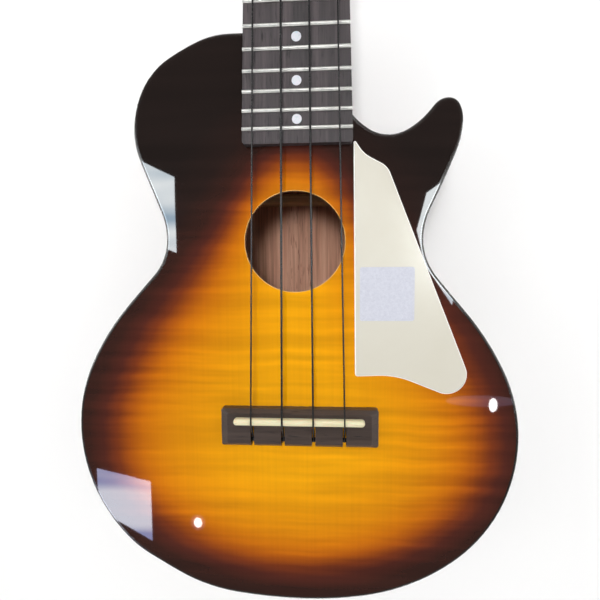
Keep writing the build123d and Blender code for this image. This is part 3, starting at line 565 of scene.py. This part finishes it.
WINDOW_GLOW = glow_look("window_glow", srgb(160, 184, 202), srgb(244, 250, 252), 19.0)
LOW_WINDOW_GLOW = glow_look("low_window_glow", srgb(150, 160, 205), srgb(232, 236, 250), 15.0)
LAMP_GLOW = glow_look("lamp_glow", srgb(250, 250, 255), srgb(255, 255, 255), 28.0)
HAZE_GLOW = glow_look("haze_glow", srgb(190, 180, 225), srgb(225, 215, 240), 1.6)

panel("window_left", [(-80, 120), (-56, 108), (-56, 74), (-80, 84)], WINDOW_GLOW)
panel("window_low", [(-98, -29), (-72, -35), (-72, -65), (-98, -50)], LOW_WINDOW_GLOW)
panel("window_right", [(66, 106), (56, 99), (52, 83), (56, 67), (68, 50), (74, 80)], WINDOW_GLOW)
lamp_spot("lamp_low", -49.2, -54.5, 2.0, 2.6, LAMP_GLOW)
lamp_spot("lamp_low_halo", -49.2, -54.5, 3.6, 4.0, HAZE_GLOW, HAZE_HEIGHT)
lamp_spot("lamp_right", 87.0, 4.8, 1.9, 3.2, LAMP_GLOW)
lamp_spot("lamp_right_haze", 82.0, 6.5, 16.0, 2.6, HAZE_GLOW, HAZE_HEIGHT)


def area_light(name, place, target, size, power, mirrored=True):
    light = bpy.data.lights.new(name, "AREA")
    light.shape = "RECTANGLE"
    light.size, light.size_y = size
    light.energy = power
    lamp = bpy.data.objects.new(name, light)
    lamp.location = place
    lamp.rotation_euler = (Vector(target) - Vector(place)).to_track_quat("-Z", "Y").to_euler()
    lamp.visible_glossy = mirrored
    bpy.context.collection.objects.link(lamp)


area_light("softbox_left", (-1.5, 0.2, 1.0), (0, 0.1, 0), (0.9, 1.6), 7.5)
area_light("softbox_right", (1.5, 0.1, 1.0), (0, 0.1, 0), (0.9, 1.6), 6.2)
area_light("softbox_foot", (0.1, -1.7, 1.0), (0, 0.1, 0), (1.6, 0.9), 5)
area_light("softbox_head", (0.1, 2.0, 1.2), (0, 0.1, 0), (1.6, 0.9), 5)
area_light("fretboard_lamp", (-0.03, 0.337, CARD_HEIGHT), (-0.03, 0.337, 0), (0.14, 0.126), 0.7)
area_light("ceiling_lamp", (-0.02, 0.19, 0.9), (-0.02, 0.19, 0), (0.16, 0.16), 4.0, mirrored=False)


def studio_sky():
    """White near the horizon and grey overhead, so that the flat gloss top stays dark."""
    world = bpy.data.worlds.new("studio")
    bpy.context.scene.world = world
    world.use_nodes = True
    sky = world.node_tree
    background = sky.nodes["Background"]
    direction = sky.nodes.new("ShaderNodeTexCoord")
    split = sky.nodes.new("ShaderNodeSeparateXYZ")
    fade = sky.nodes.new("ShaderNodeValToRGB")
    sky.links.new(direction.outputs["Generated"], split.inputs["Vector"])
    sky.links.new(split.outputs["Z"], fade.inputs["Fac"])
    sky.links.new(fade.outputs["Color"], background.inputs["Color"])
    horizon, zenith = fade.color_ramp.elements
    horizon.position, horizon.color = 0.20, (1, 1, 1, 1)
    zenith.position, zenith.color = 0.72, (0.16, 0.155, 0.15, 1)
    background.inputs["Strength"].default_value = 1.0


def paper_floor():
    """A plain pale floor under the object."""
    mesh = bpy.data.meshes.new("floor")
    corners = [(x * FLOOR_HALF, y * FLOOR_HALF, 0) for x, y in ((-1, -1), (1, -1), (1, 1), (-1, 1))]
    mesh.from_pydata(corners, [], [(0, 1, 2, 3)])
    floor = bpy.data.objects.new("floor", mesh)
    bpy.context.collection.objects.link(floor)
    look = Look("floor_paper", Specular_IOR_Level=0.0)
    mottle = look.noise((3, 3, 3), detail=2)
    look.shade(Base_Color=look.ramp(mottle, (0.3, (0.93, 0.93, 0.93, 1)), (0.7, (0.95, 0.95, 0.95, 1))))
    mesh.materials.append(look.material)


studio_sky()
paper_floor()


# ---------------------------------------------------------------- camera

camera_data = bpy.data.cameras.new("camera")
camera_data.sensor_width = SENSOR_WIDTH
camera_data.lens = LENS
camera_data.clip_start = NEAR_CLIP
camera = bpy.data.objects.new("camera", camera_data)
camera.location = CAMERA_PLACE
camera.rotation_euler = Euler([radians(a) for a in CAMERA_TURN])
bpy.context.collection.objects.link(camera)
bpy.context.scene.camera = camera
bpy.context.scene.view_settings.view_transform = "Standard"
